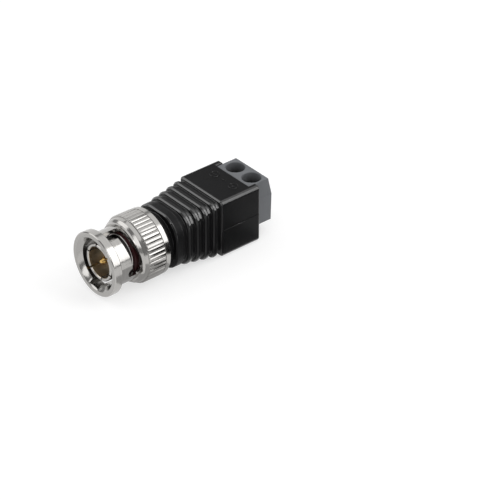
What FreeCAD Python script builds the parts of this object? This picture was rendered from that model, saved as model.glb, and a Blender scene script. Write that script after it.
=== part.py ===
import FreeCAD, Part
import math
import os

# Coaxial bayonet plug with a two-pole screw terminal in a ribbed moulded jacket, in millimetres.
# +X runs along the connector axis from the mating end to the terminal, +Z points out of the screw holes.
# The origin is on the connector axis, at the front tip of the outer contact.
# Angles are turned about +X, from +Y towards +Z.

# Outer contact and centre pin
CONTACT_ENTRY_GAP = 0.9
CONTACT_WALL = 0.7
CONTACT_SEAT_WALL = 0.45
CONTACT_SLOTS = 6
CONTACT_SLOT_WIDTH = 0.35
CONTACT_SLOT_LENGTH = 4.4
FIRST_SLOT_ANGLE = 19.5
CONTACT_TIP_EDGE = 0.2
PIN_DIAMETER = 1.35
PIN_TIP_RECESS = 0.45
PIN_NOSE_LENGTH = 0.75
PIN_NOSE_DIAMETER = 0.7
PIN_NOSE_EDGE = 0.15
PIN_SHANK_DIAMETER = 1.9
PIN_COLLAR_DIAMETER = 2.6
PIN_COLLAR_SETBACK = 4.2
PIN_COLLAR_LENGTH = 2.0
PIN_TAIL_REACH = 1.6
INSULATOR_FRONT = 5.2
INSULATOR_SHOULDER = 0.25

# Coupling nut
NUT_OD = 14.5
NUT_FRONT_OVERHANG = 1.1
NECK_WALL = 0.85
NUT_BORE_LEAD = 0.95
FRONT_RING_DROP = 0.3
FRONT_RING_WIDTH = 1.95
FRONT_RING_EDGE = 0.18
NECK_DROP = 1.45
SHOULDER_HEIGHT = 0.4
SHOULDER_SETBACK = 1.7
SHOULDER_WIDTH = 0.4
FLARE_DROP = 0.5
FLARE_SETBACK = 0.8
FLARE_HOLLOW = 0.12
KNURL_START = 7.3
KNURL_LENGTH = 4.2
KNURL_TEETH = 48
KNURL_DEPTH = 0.26
KNURL_CREST_SHARE = 0.46
KNURL_ROOT_SHARE = 0.14
KNURL_STEP = 0.05
REAR_BAND_LENGTH = 1.25
REAR_BAND_DROP = 0.05
REAR_EDGE = 0.2
NUT_REAR_WALL = 1.1

# Bayonet slots
LUG_GROOVE_DEPTH = 0.63
ENTRY_WIDTH = 2.7
ENTRY_ANGLE = 96.5
ENTRY_WALL = 0.6
ENTRY_CORNER = 0.8
RAMP_SLOT_WIDTH = 2.1
RAMP_PATH = [(97, 4.42), (111, 4.5), (130, 4.6), (145, 4.76), (160, 5.0), (175, 5.08), (190, 5.1)]
POCKET_ANGLE = 192.0
POCKET_DEPTH = 1.0
POCKET_RELIEF = 0.06
RAMP_STEPS = 24

# Plug body, seal and spring pack
PLUG_FLANGE_FRONT = 6.7
PLUG_FLANGE_LENGTH = 2.0
CONTACT_SEAT_DEPTH = 1.0
PLUG_SLEEVE_WALL = 1.0
PLUG_BARB_HEIGHT = 0.5
PLUG_BARB_LENGTH = 1.6
TURNING_CLEARANCE = 0.06
NUT_SEAT_GAP = 0.03
GASKET_LENGTH = 1.8
GASKET_SIDE_GAP = 0.1
GASKET_EDGE = 0.25
WAVE_WASHER_HEIGHT = 1.3
WAVE_WASHER_THICKNESS = 0.3
WAVE_WASHER_WIDTH = 1.1
WAVE_COUNT = 3
STEPS_PER_WAVE = 12
SPRING_FACE_GAP = 0.02
FLAT_WASHER_THICKNESS = 0.5
RING_THICKNESS = 0.8
RING_GROOVE_DEPTH = 0.35
RING_WIDTH = 0.75
RING_GAP_ANGLE = 24.0

# Jacket
JACKET_HEIGHT = 13.2
JACKET_LIP = 0.9
JACKET_NECK_WALL = 0.8
JACKET_NECK_GAP = 0.66
COLLAR_SETBACK = 2.0
COLLAR_LENGTH = 2.2
COLLAR_WALL = 1.25
COLLAR_FLATTENING = 0.1
COLLAR_CORNER = 5.0
RIB_COUNT = 4
RIB_PITCH = 2.05
RIB_EDGE = 0.3
LAST_RIB_CORNER = 1.4
GROOVE_WIDTH = 0.9
GROOVE_DEPTH = 0.6
BLOCK_LENGTH = 10.05
BLOCK_CORNER = 0.9
BLOCK_FRONT_EDGE = 0.3
BLOCK_REAR_EDGE = 0.25
BARB_SETBACK = 0.65
SLEEVE_REACH = 4.25
JACKET_HOLLOW_WALL = 1.9
HOLLOW_SIDE_GAP = 0.25
JACKET_TOP_WALL = 1.7
JACKET_BOTTOM_WALL = 2.65
MOUTH_DEPTH = 1.6
MOUTH_SIDE_GAP = 0.75
MOUTH_FLOOR_GAP = 0.3
NOTCH_DEPTH = 1.7
NOTCH_SIDE_GAP = 0.08

# Terminal housing
POLE_COUNT = 2
POLE_PITCH = 5.08
HOUSING_SIDE_MARGIN = 0.02
HOUSING_LENGTH = 7.8
HOUSING_STANDOUT = 4.5
HOUSING_TOP_DROP = 0.35
HOUSING_EDGE = 0.15
SLANT_DROP = 4.05
SLANT_SETBACK = 0.95
END_DRAFT = 0.18
SCREW_HOLE_DIAMETER = 4.0
SCREW_HOLE_BEVEL = 0.2
SCREW_SETBACK = 3.3
ENTRY_DIVIDER = 0.78
ENTRY_FLOOR_WALL = 0.55
ENTRY_HEIGHT = 5.3
ENTRY_MOUTH_DEPTH = 1.6

# Terminal contact, wire guard and screw
CAGE_SCREW_GAP = 0.05
CAGE_LENGTH = 4.1
CAGE_HEIGHT = 4.0
CAGE_SHEET = 0.4
CAGE_PLATE = 0.75
CAGE_CORNER = 0.3
TAIL_WIDTH = 1.2
TAIL_LENGTH = 2.4
GUARD_SHEET = 0.25
GUARD_SIDE_GAP = 0.1
GUARD_TOP_GAP = 0.06
GUARD_BACK_GAP = 0.4
GUARD_NOSE_HEIGHT = 1.45
GUARD_NOSE_REACH = 1.25
GUARD_NOSE_LEAN = 0.3
GUARD_NOSE_RETURN = 0.85
SCREW_THREAD_DIAMETER = 2.5
THREAD_CLEARANCE = 0.03
SCREW_HEAD_DIAMETER = 3.7
SCREW_HEAD_HEIGHT = 0.9
SCREW_HEAD_EDGE = 0.3
SCREW_HEAD_DEPTH = 2.15
SCREW_TIP_GAP = 0.04
SCREW_TIP_EDGE = 0.3
SCREW_SLOT_WIDTH = 0.6
SCREW_SLOT_DEPTH = 0.5
SCREW_SLOT_ANGLE = 35.0

# Leads
LEAD_DIAMETER = 0.8
LEAD_ARC_SHARE = 0.45
LEAD_RUNS = 3

# How far a cutting solid runs past the face it opens, and by how much two cutting solids differ
OVERCUT = 1.0
CUTTER_STEP = 0.1

# Least straight run between two rounded corners, halved
LEAST_FLAT = 0.05

# How far an edge may lean and still run along a direction, and how near two places count as one
LEAN_ANGLE = 8.0
PARALLEL_SHARE = math.cos(math.radians(LEAN_ANGLE))
SAME_PLACE = 0.000001

ORIGIN = FreeCAD.Vector(0, 0, 0)
AXIS_X = FreeCAD.Vector(1, 0, 0)
AXIS_Z = FreeCAD.Vector(0, 0, 1)

# Diameters of the nut, from its outside inwards
FRONT_RING_OD = NUT_OD - 2 * FRONT_RING_DROP
NECK_OD = NUT_OD - 2 * NECK_DROP
SHOULDER_OD = NECK_OD + 2 * SHOULDER_HEIGHT
FLARE_OD = NUT_OD - 2 * FLARE_DROP
NUT_CAVITY_DIAMETER = NUT_OD - 2 * NUT_REAR_WALL
NUT_BORE = NECK_OD - 2 * NECK_WALL
LUG_CIRCLE_DIAMETER = NUT_BORE + 2 * LUG_GROOVE_DEPTH

# Diameters of what the nut turns on
OUTER_CONTACT_OD = NUT_BORE - 2 * CONTACT_ENTRY_GAP
OUTER_CONTACT_BORE = OUTER_CONTACT_OD - 2 * CONTACT_WALL
GASKET_BORE = OUTER_CONTACT_BORE + 2 * CONTACT_SEAT_WALL
INSULATOR_CORE_DIAMETER = OUTER_CONTACT_BORE + 2 * INSULATOR_SHOULDER
PLUG_SLEEVE_DIAMETER = INSULATOR_CORE_DIAMETER + 2 * PLUG_SLEEVE_WALL
PLUG_BARB_DIAMETER = PLUG_SLEEVE_DIAMETER + 2 * PLUG_BARB_HEIGHT

# Widths of the terminal housing and of the jacket round it and round the barb
HOUSING_WIDTH = POLE_COUNT * POLE_PITCH + 2 * HOUSING_SIDE_MARGIN
ENTRY_MOUTH_WIDTH = POLE_PITCH - ENTRY_DIVIDER
CAGE_WIDTH = SCREW_THREAD_DIAMETER + 2 * (CAGE_SHEET + CAGE_SCREW_GAP)
JACKET_WIDTH = HOUSING_WIDTH + 2 * (MOUTH_SIDE_GAP + JACKET_LIP)
JACKET_NECK_DIAMETER = PLUG_SLEEVE_DIAMETER + 2 * JACKET_NECK_WALL
COLLAR_WIDTH = PLUG_BARB_DIAMETER + 2 * COLLAR_WALL
COLLAR_HEIGHT = COLLAR_WIDTH - 2 * COLLAR_FLATTENING

# Stations along the axis
NUT_FRONT = -NUT_FRONT_OVERHANG
RING_BACK = NUT_FRONT + FRONT_RING_WIDTH
KNURL_END = KNURL_START + KNURL_LENGTH
NUT_REAR = KNURL_END + REAR_BAND_LENGTH
FLANGE_BACK = PLUG_FLANGE_FRONT + PLUG_FLANGE_LENGTH
CONTACT_SEAT = PLUG_FLANGE_FRONT + CONTACT_SEAT_DEPTH
NUT_CAVITY_FRONT = PLUG_FLANGE_FRONT - NUT_SEAT_GAP
GASKET_FRONT = PLUG_FLANGE_FRONT - GASKET_LENGTH
PIN_COLLAR_START = INSULATOR_FRONT + PIN_COLLAR_SETBACK
WASHER_FRONT = FLANGE_BACK + WAVE_WASHER_HEIGHT + 2 * SPRING_FACE_GAP
WASHER_BACK = WASHER_FRONT + FLAT_WASHER_THICKNESS
RING_REAR = WASHER_BACK + RING_THICKNESS
JACKET_NECK_START = RING_REAR + JACKET_NECK_GAP
COLLAR_START = NUT_REAR + COLLAR_SETBACK
PLUG_BARB_START = COLLAR_START + BARB_SETBACK
PLUG_BARB_END = PLUG_BARB_START + PLUG_BARB_LENGTH
PLUG_SLEEVE_END = COLLAR_START + SLEEVE_REACH
PIN_END = PLUG_SLEEVE_END + PIN_TAIL_REACH
FIRST_RIB = COLLAR_START + COLLAR_LENGTH + GROOVE_WIDTH
BLOCK_START = FIRST_RIB + RIB_COUNT * RIB_PITCH
JACKET_END = BLOCK_START + BLOCK_LENGTH
HOUSING_END = JACKET_END + HOUSING_STANDOUT
HOUSING_START = HOUSING_END - HOUSING_LENGTH
NOTCH_START = JACKET_END - NOTCH_DEPTH
TAIL_END = HOUSING_START - TAIL_LENGTH
SCREW_X = HOUSING_END - SCREW_SETBACK
CAGE_FRONT = HOUSING_END - ENTRY_MOUTH_DEPTH
CAGE_BACK = CAGE_FRONT - CAGE_LENGTH

# Middle of the sleeve's wall, where the ground lead starts
SLEEVE_WALL_MIDDLE = (PLUG_SLEEVE_DIAMETER + INSULATOR_CORE_DIAMETER) / 4

# Heights above the axis
HOUSING_TOP = JACKET_HEIGHT / 2 - HOUSING_TOP_DROP
HOUSING_STEP = JACKET_HEIGHT / 2 - JACKET_TOP_WALL
HOUSING_BOTTOM = -JACKET_HEIGHT / 2 + JACKET_BOTTOM_WALL
ENTRY_FLOOR = HOUSING_BOTTOM + ENTRY_FLOOR_WALL
ENTRY_CEILING = ENTRY_FLOOR + ENTRY_HEIGHT
TAIL_MIDDLE = ENTRY_FLOOR + CAGE_SHEET / 2
CAGE_TOP = ENTRY_FLOOR + CAGE_HEIGHT
CAGE_PLATE_BOTTOM = CAGE_TOP - CAGE_PLATE
GUARD_TOP = CAGE_PLATE_BOTTOM - GUARD_TOP_GAP
GUARD_BOTTOM = GUARD_TOP - GUARD_SHEET
SCREW_HEAD_TOP = HOUSING_TOP - SCREW_HEAD_DEPTH

# Places of the poles across the axis
POLE_NAMES = ["plus", "minus"]
POLE_PLACES = [(i - (POLE_COUNT - 1) / 2) * POLE_PITCH for i in range(POLE_COUNT)]


def turned(points):
    """Solid of revolution about the connector axis from (x, radius) points."""
    corners = [FreeCAD.Vector(x, 0, radius) for x, radius in points]
    wire = Part.makePolygon(corners + corners[:1])
    return Part.Face(wire).revolve(ORIGIN, AXIS_X, 360)


def rod(start, end, diameter):
    return Part.makeCylinder(diameter / 2, end - start, FreeCAD.Vector(start, 0, 0), AXIS_X)


def tube(start, end, outer, inner):
    return rod(start, end, outer).cut(rod(start, end, inner))


def block(low, high):
    size = [high[i] - low[i] for i in range(3)]
    return Part.makeBox(size[0], size[1], size[2], FreeCAD.Vector(*low))


def about_axis(shape, angle):
    copy = shape.copy()
    copy.rotate(ORIGIN, AXIS_X, angle)
    return copy


def rounded_section(x, width, height, corner):
    """Closed rounded-rectangle wire across the axis, always eight edges starting at the same place."""
    half_w = width / 2
    half_h = height / 2
    radius = min(corner, half_w - LEAST_FLAT, half_h - LEAST_FLAT)
    edges = []
    for sign_y, sign_z, start in ((1, 1, 0), (-1, 1, 90), (-1, -1, 180), (1, -1, 270)):
        centre = FreeCAD.Vector(x, sign_y * (half_w - radius), sign_z * (half_h - radius))
        points = []
        for share in (0.0, 0.5, 1.0):
            angle = math.radians(start + 90 * share)
            points.append(centre + FreeCAD.Vector(0, radius * math.cos(angle), radius * math.sin(angle)))
        edges.append(Part.Arc(*points).toShape())
    wire = []
    for index, arc in enumerate(edges):
        following = edges[(index + 1) % 4]
        wire.append(arc)
        wire.append(Part.LineSegment(arc.Vertexes[-1].Point, following.Vertexes[0].Point).toShape())
    return Part.Wire(wire)


def strip(outline, width, centre_y):
    """Sheet part from its side view, a list of (x, z) corners, centred on a pole."""
    corners = [FreeCAD.Vector(x, centre_y - width / 2, z) for x, z in outline]
    face = Part.Face(Part.makePolygon(corners + corners[:1]))
    return face.extrude(FreeCAD.Vector(0, width, 0))


def tooth_outline(depth):
    """Corners of one knurl tooth across the axis, its flanks carried on to a depth under the crest."""
    crest = NUT_OD / 2
    pitch = math.pi * NUT_OD / KNURL_TEETH
    crest_half = pitch * KNURL_CREST_SHARE / 2
    root_half = pitch * (1 - KNURL_ROOT_SHARE) / 2
    foot_half = crest_half + (root_half - crest_half) * depth / KNURL_DEPTH
    foot = crest - depth
    return [(-foot_half, foot), (-crest_half, crest), (crest_half, crest), (foot_half, foot)]


def knurl_tooth():
    """One straight tooth of the knurl, bevelled at both ends, its foot sunk into the nut."""
    crest = NUT_OD / 2
    root = crest - KNURL_DEPTH
    above = crest + OVERCUT
    outline = tooth_outline(2 * KNURL_DEPTH)
    corners = [FreeCAD.Vector(KNURL_START, across, radius) for across, radius in outline]
    tooth = Part.Face(Part.makePolygon(corners + corners[:1])).extrude(FreeCAD.Vector(KNURL_LENGTH, 0, 0))
    for end, inward in ((KNURL_START, KNURL_DEPTH), (KNURL_END, -KNURL_DEPTH)):
        bevel = [
            (end, root),
            (end + inward, crest),
            (end + inward, above),
            (end - inward, above),
            (end - inward, root),
        ]
        tooth = tooth.cut(strip(bevel, NUT_OD, 0))
    return tooth


def knurl_core():
    """Ring under the teeth, flat under each tooth and between two of them, so that they meet in lines."""
    left, _, _, right = tooth_outline(KNURL_DEPTH)
    corners = []
    for index in range(KNURL_TEETH):
        turn = -2 * math.pi * index / KNURL_TEETH
        for across, radius in (left, right):
            corners.append(FreeCAD.Vector(
                KNURL_START,
                across * math.cos(turn) - radius * math.sin(turn),
                across * math.sin(turn) + radius * math.cos(turn)))
    core = Part.Face(Part.makePolygon(corners + corners[:1])).extrude(FreeCAD.Vector(KNURL_LENGTH, 0, 0))
    middle_of_wall = NUT_CAVITY_DIAMETER / 2 + NUT_OD / 2 - 2 * KNURL_DEPTH
    return core.cut(rod(KNURL_START, KNURL_END, middle_of_wall))


def radial_bar(start, end, angle, width, inner, outer, corner=0):
    """Bar that points away from the axis, with the corners of its outline rounded if asked."""
    bar = block((start, inner, -width / 2), (end, outer, width / 2))
    if corner:
        upright = [e for e in bar.Edges if abs(e.tangentAt(e.FirstParameter).y) > PARALLEL_SHARE]
        bar = bar.makeFillet(corner, upright)
    return about_axis(bar, angle)


def wrapped_run(path, width, inner, outer):
    """Slot cutter of even width whose centre line wraps around the axis through (angle, x) points."""
    flat = Part.BSplineCurve()
    flat.interpolate([FreeCAD.Vector(angle, x, 0) for angle, x in path])
    rails = []
    for radius, side in ((inner, -1), (outer, -1), (outer, 1), (inner, 1)):
        points = []
        for step in range(RAMP_STEPS + 1):
            share = step / RAMP_STEPS
            at = flat.value(flat.FirstParameter + (flat.LastParameter - flat.FirstParameter) * share)
            angle = math.radians(at.x)
            x = at.y + side * width / 2
            points.append(FreeCAD.Vector(x, radius * math.cos(angle), radius * math.sin(angle)))
        curve = Part.BSplineCurve()
        curve.interpolate(points)
        rails.append(curve.toShape())
    faces = [Part.makeRuledSurface(rails[i], rails[(i + 1) % 4]) for i in range(4)]
    for index in (0, -1):
        corners = [rail.Vertexes[index].Point for rail in rails]
        faces.append(Part.Face(Part.makePolygon(corners + corners[:1])))
    return solid_from(faces)


def solid_from(faces):
    shell = Part.makeShell(faces)
    shell.sewShape()
    solid = Part.makeSolid(shell)
    if solid.Volume < 0:
        solid.reverse()
    return solid


def bayonet_slot():
    """Entry channel, cam ramp and locking pocket for one lug."""
    inner = NUT_BORE / 2 - OVERCUT / 2
    outer = FLARE_OD / 2
    open_start = RING_BACK + ENTRY_WALL
    open_end = RAMP_PATH[0][1] + RAMP_SLOT_WIDTH / 2
    pocket_back = RAMP_PATH[-1][1] + RAMP_SLOT_WIDTH / 2 + POCKET_RELIEF
    pocket_front = pocket_back - RAMP_SLOT_WIDTH - POCKET_DEPTH
    pocket_corner = RAMP_SLOT_WIDTH / 2 - POCKET_RELIEF
    channel = radial_bar(
        NUT_FRONT - OVERCUT, open_start + ENTRY_CORNER, ENTRY_ANGLE, ENTRY_WIDTH, inner,
        LUG_CIRCLE_DIAMETER / 2)
    window = radial_bar(open_start, open_end, ENTRY_ANGLE, ENTRY_WIDTH, inner, outer, ENTRY_CORNER)
    ramp = wrapped_run(RAMP_PATH, RAMP_SLOT_WIDTH, inner - CUTTER_STEP, outer + CUTTER_STEP)
    pocket = radial_bar(
        pocket_front, pocket_back, POCKET_ANGLE, RAMP_SLOT_WIDTH, inner, outer, pocket_corner)
    return [channel, window, ramp, pocket]


def coupling_nut():
    neck = NECK_OD / 2
    ring = FRONT_RING_OD / 2
    shoulder = SHOULDER_OD / 2
    shoulder_front = KNURL_START - SHOULDER_SETBACK
    shoulder_back = shoulder_front + SHOULDER_WIDTH
    flare = FLARE_OD / 2
    flare_end = KNURL_START - FLARE_SETBACK
    root = NUT_OD / 2 - KNURL_DEPTH
    under_knurl = root - KNURL_DEPTH
    band = NUT_OD / 2 - REAR_BAND_DROP
    bore = NUT_BORE / 2
    cavity = NUT_CAVITY_DIAMETER / 2
    profile = [
        (NUT_FRONT, bore + NUT_BORE_LEAD),
        (NUT_FRONT, ring - FRONT_RING_EDGE),
        (NUT_FRONT + FRONT_RING_EDGE, ring),
        (RING_BACK - FRONT_RING_EDGE, ring),
        (RING_BACK, ring - FRONT_RING_EDGE),
        (RING_BACK, neck),
        (shoulder_front, neck),
        (shoulder_front, shoulder),
        (shoulder_back, shoulder),
        (shoulder_back + FLARE_HOLLOW, shoulder + FLARE_HOLLOW),
        (flare_end, flare),
        (KNURL_START, root - KNURL_STEP),
        (KNURL_START, under_knurl),
        (KNURL_END, under_knurl),
        (KNURL_END, band),
        (NUT_REAR - REAR_EDGE, band),
        (NUT_REAR, band - REAR_EDGE),
        (NUT_REAR, cavity),
        (NUT_CAVITY_FRONT, cavity),
        (NUT_CAVITY_FRONT, bore),
        (NUT_FRONT + NUT_BORE_LEAD, bore),
    ]
    teeth = [about_axis(knurl_tooth(), index * 360 / KNURL_TEETH) for index in range(KNURL_TEETH)]
    nut = turned(profile).fuse([knurl_core()] + teeth).removeSplitter()
    groove = tube(WASHER_BACK, RING_REAR, 2 * (cavity + RING_GROOVE_DEPTH), 2 * cavity - OVERCUT)
    nut = nut.cut(groove)
    for turn in (0, 180):
        for piece in bayonet_slot():
            nut = nut.cut(about_axis(piece, turn))
    return nut


def outer_contact():
    """Spring sleeve, slotted from its tip, with a smaller seat under the gasket."""
    outer = OUTER_CONTACT_OD / 2
    inner = OUTER_CONTACT_BORE / 2
    seat = GASKET_BORE / 2
    shell = turned([
        (0, inner + CONTACT_TIP_EDGE),
        (0, outer - CONTACT_TIP_EDGE),
        (CONTACT_TIP_EDGE, outer),
        (GASKET_FRONT, outer),
        (GASKET_FRONT, seat),
        (CONTACT_SEAT, seat),
        (CONTACT_SEAT, inner),
        (CONTACT_TIP_EDGE, inner),
    ])
    for index in range(CONTACT_SLOTS):
        angle = FIRST_SLOT_ANGLE + index * 360 / CONTACT_SLOTS
        shell = shell.cut(radial_bar(
            -OVERCUT, CONTACT_SLOT_LENGTH, angle, CONTACT_SLOT_WIDTH, inner - OVERCUT, outer + OVERCUT))
    return shell


def centre_pin():
    radius = PIN_DIAMETER / 2
    nose = PIN_NOSE_DIAMETER / 2
    shank = PIN_SHANK_DIAMETER / 2
    collar = PIN_COLLAR_DIAMETER / 2
    collar_end = PIN_COLLAR_START + PIN_COLLAR_LENGTH
    return turned([
        (PIN_TIP_RECESS, 0),
        (PIN_TIP_RECESS, nose - PIN_NOSE_EDGE),
        (PIN_TIP_RECESS + PIN_NOSE_EDGE, nose),
        (PIN_TIP_RECESS + PIN_NOSE_LENGTH, radius),
        (INSULATOR_FRONT, radius),
        (INSULATOR_FRONT, shank),
        (PIN_COLLAR_START, shank),
        (PIN_COLLAR_START, collar),
        (collar_end, collar),
        (collar_end, shank),
        (PIN_END, shank),
        (PIN_END, 0),
    ])


def front_insulator():
    neck = OUTER_CONTACT_BORE / 2
    core = INSULATOR_CORE_DIAMETER / 2
    body = turned([
        (INSULATOR_FRONT, 0),
        (INSULATOR_FRONT, neck),
        (CONTACT_SEAT, neck),
        (CONTACT_SEAT, core),
        (PIN_COLLAR_START, core),
        (PIN_COLLAR_START, 0),
    ])
    return body.cut(centre_pin())


def rear_insulator():
    body = rod(PIN_COLLAR_START, PLUG_SLEEVE_END, INSULATOR_CORE_DIAMETER)
    return body.cut(centre_pin())


def plug_body():
    """Flange that the nut pulls on, and the sleeve with the barb that the jacket is moulded around."""
    flange = NUT_CAVITY_DIAMETER / 2 - TURNING_CLEARANCE
    sleeve = PLUG_SLEEVE_DIAMETER / 2
    barb = PLUG_BARB_DIAMETER / 2
    core = INSULATOR_CORE_DIAMETER / 2
    seat = GASKET_BORE / 2
    return turned([
        (PLUG_FLANGE_FRONT, seat),
        (PLUG_FLANGE_FRONT, flange),
        (FLANGE_BACK, flange),
        (FLANGE_BACK, sleeve),
        (PLUG_BARB_START, sleeve),
        (PLUG_BARB_START, barb),
        (PLUG_BARB_END, barb),
        (PLUG_BARB_END, sleeve),
        (PLUG_SLEEVE_END, sleeve),
        (PLUG_SLEEVE_END, core),
        (CONTACT_SEAT, core),
        (CONTACT_SEAT, seat),
    ])


def gasket():
    outer = NUT_BORE / 2 - GASKET_SIDE_GAP
    inner = GASKET_BORE / 2
    return turned([
        (GASKET_FRONT, inner),
        (GASKET_FRONT, outer - GASKET_EDGE),
        (GASKET_FRONT + GASKET_EDGE, outer),
        (PLUG_FLANGE_FRONT, outer),
        (PLUG_FLANGE_FRONT, inner),
    ])


def wave_washer():
    """Thin ring whose height rises and falls three times around the axis."""
    inner = PLUG_SLEEVE_DIAMETER / 2 + 2 * TURNING_CLEARANCE
    outer = inner + WAVE_WASHER_WIDTH
    swing = (WAVE_WASHER_HEIGHT - WAVE_WASHER_THICKNESS) / 2
    middle = FLANGE_BACK + SPRING_FACE_GAP + WAVE_WASHER_HEIGHT / 2
    rails = []
    for radius, side in ((inner, -1), (outer, -1), (outer, 1), (inner, 1)):
        points = []
        for step in range(STEPS_PER_WAVE * WAVE_COUNT):
            angle = 2 * math.pi * step / (STEPS_PER_WAVE * WAVE_COUNT)
            x = middle + swing * math.cos(WAVE_COUNT * angle) + side * WAVE_WASHER_THICKNESS / 2
            points.append(FreeCAD.Vector(x, radius * math.cos(angle), radius * math.sin(angle)))
        curve = Part.BSplineCurve()
        curve.interpolate(points, PeriodicFlag=True)
        rails.append(curve.toShape())
    return solid_from([Part.makeRuledSurface(rails[i], rails[(i + 1) % 4]) for i in range(4)])


def flat_washer():
    return tube(
        WASHER_FRONT,
        WASHER_BACK,
        NUT_CAVITY_DIAMETER - 2 * TURNING_CLEARANCE,
        PLUG_SLEEVE_DIAMETER + 2 * TURNING_CLEARANCE)


def retaining_ring():
    outer = NUT_CAVITY_DIAMETER / 2 + RING_GROOVE_DEPTH
    inner = outer - RING_GROOVE_DEPTH - RING_WIDTH
    ring = tube(WASHER_BACK, RING_REAR, 2 * outer, 2 * inner)
    width = 2 * outer * math.sin(math.radians(RING_GAP_ANGLE / 2))
    return ring.cut(radial_bar(
        WASHER_BACK - OVERCUT, RING_REAR + OVERCUT, -90, width, inner - OVERCUT, outer + OVERCUT))


def jacket_slice(start, end, inset):
    """Straight slice of the jacket with the outline of its middle, from round collar to square block."""
    share = ((start + end) / 2 - COLLAR_START) / (BLOCK_START - COLLAR_START)
    width = COLLAR_WIDTH + (JACKET_WIDTH - COLLAR_WIDTH) * share
    height = COLLAR_HEIGHT + (JACKET_HEIGHT - COLLAR_HEIGHT) * share
    corner = COLLAR_CORNER + (LAST_RIB_CORNER - COLLAR_CORNER) * share
    outline = rounded_section(start, width - 2 * inset, height - 2 * inset, corner - inset / 2)
    return Part.Face(outline).extrude(FreeCAD.Vector(end - start, 0, 0))


def edges_at(shape, x):
    return [e for e in shape.Edges if max(abs(v.Point.x - x) for v in e.Vertexes) < SAME_PLACE]


def bead(start, end):
    """One rib of the jacket with both rims broken."""
    rib = jacket_slice(start, end, 0)
    rims = edges_at(rib, start) + edges_at(rib, end)
    return rib.makeChamfer(min(RIB_EDGE, (end - start) / 2 - LEAST_FLAT), rims)


def jacket_outside():
    shape = rod(JACKET_NECK_START, COLLAR_START + GROOVE_WIDTH, JACKET_NECK_DIAMETER)
    start = COLLAR_START
    end = COLLAR_START + COLLAR_LENGTH
    for index in range(RIB_COUNT + 1):
        groove_end = end + GROOVE_WIDTH
        shape = shape.fuse(bead(start, end))
        shape = shape.fuse(jacket_slice(end - RIB_EDGE, groove_end + RIB_EDGE, GROOVE_DEPTH))
        start = groove_end
        end = start + RIB_PITCH - GROOVE_WIDTH
    face = Part.Face(rounded_section(BLOCK_START, JACKET_WIDTH, JACKET_HEIGHT, BLOCK_CORNER))
    end_block = face.extrude(FreeCAD.Vector(BLOCK_LENGTH, 0, 0))
    end_block = end_block.makeChamfer(BLOCK_FRONT_EDGE, edges_at(end_block, BLOCK_START))
    end_block = end_block.makeChamfer(BLOCK_REAR_EDGE, edges_at(end_block, JACKET_END))
    return shape.fuse(end_block)


def jacket():
    shape = jacket_outside()
    shape = shape.cut(rod(JACKET_NECK_START - OVERCUT, PLUG_SLEEVE_END, PLUG_SLEEVE_DIAMETER))
    shape = shape.cut(rod(PLUG_BARB_START, PLUG_BARB_END, PLUG_BARB_DIAMETER))
    hollow_y = PLUG_SLEEVE_DIAMETER / 2 + HOLLOW_SIDE_GAP
    hollow_z = JACKET_HEIGHT / 2 - JACKET_HOLLOW_WALL
    shape = shape.cut(block((PLUG_SLEEVE_END, -hollow_y, -hollow_z), (HOUSING_START, hollow_y, hollow_z)))
    half = HOUSING_WIDTH / 2
    past = JACKET_END + OVERCUT
    shape = shape.cut(block((HOUSING_START, -half, HOUSING_BOTTOM), (past, half, HOUSING_STEP)))
    mouth = half + MOUTH_SIDE_GAP
    mouth_low = (JACKET_END - MOUTH_DEPTH, -mouth, HOUSING_BOTTOM - MOUTH_FLOOR_GAP)
    shape = shape.cut(block(mouth_low, (past, mouth, HOUSING_STEP)))
    notch = half + NOTCH_SIDE_GAP
    notch_low = (NOTCH_START, -notch, HOUSING_STEP - NOTCH_SIDE_GAP)
    return shape.cut(block(notch_low, (past, notch, JACKET_HEIGHT))).removeSplitter()


def terminal_housing():
    """Two-pole housing with slanted upper end, screw holes, wire entries and chambers for the contacts."""
    front_low = HOUSING_TOP - SLANT_DROP
    body = strip([
        (HOUSING_START, HOUSING_BOTTOM),
        (HOUSING_END - END_DRAFT, HOUSING_BOTTOM),
        (HOUSING_END, front_low),
        (HOUSING_END - SLANT_SETBACK, HOUSING_TOP),
        (NOTCH_START, HOUSING_TOP),
        (NOTCH_START, HOUSING_STEP),
        (HOUSING_START, HOUSING_STEP),
    ], HOUSING_WIDTH, 0)
    slant = []
    for edge in body.Edges:
        across = abs(edge.tangentAt(edge.FirstParameter).y) > PARALLEL_SHARE
        if across and edge.CenterOfMass.x > SCREW_X and edge.CenterOfMass.z > HOUSING_BOTTOM + SAME_PLACE:
            slant.append(edge)
    body = body.makeFillet(HOUSING_EDGE, slant)
    hole = SCREW_HOLE_DIAMETER / 2
    for y in POLE_PLACES:
        shaft_foot = FreeCAD.Vector(SCREW_X, y, CAGE_TOP)
        bevel_foot = FreeCAD.Vector(SCREW_X, y, HOUSING_TOP - SCREW_HOLE_BEVEL)
        body = body.cut(Part.makeCylinder(hole, HOUSING_TOP - CAGE_TOP, shaft_foot, AXIS_Z))
        body = body.cut(Part.makeCone(hole, hole + SCREW_HOLE_BEVEL, SCREW_HOLE_BEVEL, bevel_foot, AXIS_Z))
        body = body.cut(block(
            (CAGE_FRONT, y - ENTRY_MOUTH_WIDTH / 2, ENTRY_FLOOR),
            (HOUSING_END + OVERCUT, y + ENTRY_MOUTH_WIDTH / 2, ENTRY_CEILING)))
        body = body.cut(block(
            (CAGE_BACK, y - CAGE_WIDTH / 2, ENTRY_FLOOR),
            (CAGE_FRONT, y + CAGE_WIDTH / 2, ENTRY_CEILING)))
        body = body.cut(block(
            (HOUSING_START - OVERCUT, y - TAIL_WIDTH / 2, ENTRY_FLOOR),
            (CAGE_BACK, y + TAIL_WIDTH / 2, ENTRY_FLOOR + CAGE_SHEET)))
    return body.removeSplitter()


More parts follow.
